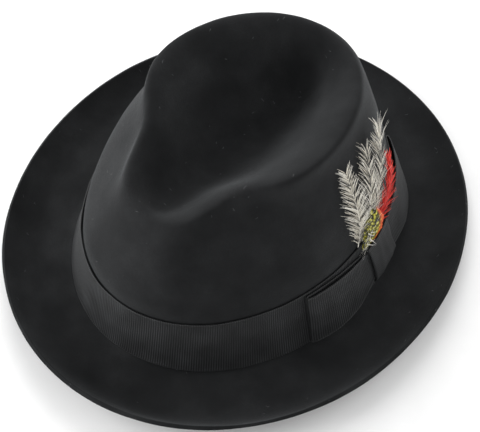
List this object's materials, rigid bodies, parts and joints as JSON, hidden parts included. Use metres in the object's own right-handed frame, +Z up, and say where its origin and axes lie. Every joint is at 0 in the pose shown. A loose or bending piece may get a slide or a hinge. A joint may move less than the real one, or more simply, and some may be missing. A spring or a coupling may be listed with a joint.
{
  "type": "trilby hat",
  "caption": "Felt hat with a short curled-up brim, a creased and pinched crown, a ribbon band, a flat side bow and a small feather trim.",
  "frame": {"origin": "middle of the hat's bounding box, on the surface it stands on", "axes": "+Z up through the crown, -Y towards the front of the hat, +X towards the wearer's left, where the bow and the feathers are"},
  "size_m": [0.2512, 0.2837, 0.1222],
  "materials": {
    "felt": "matt black wool felt with a short nap",
    "ribbon": "black grosgrain, ribbed across, faint sheen",
    "cream_feather": "soft cream hackle with grey and black streaks",
    "red_feather": "smooth scarlet feather",
    "speckled_feather": "yellow-green feather with dark specks"
  },
  "bodies": {
    "root": {"felt_body": "felt", "ribbon_band": "ribbon", "bow_front_loop": "ribbon", "bow_back_loop": "ribbon", "bow_knot": "ribbon", "trim_stem": "ribbon", "hackle_front": "cream_feather", "hackle_middle": "cream_feather", "hackle_back": "cream_feather", "red_feather": "red_feather", "speckled_feather": "speckled_feather"}
  },
  "joints": []
}
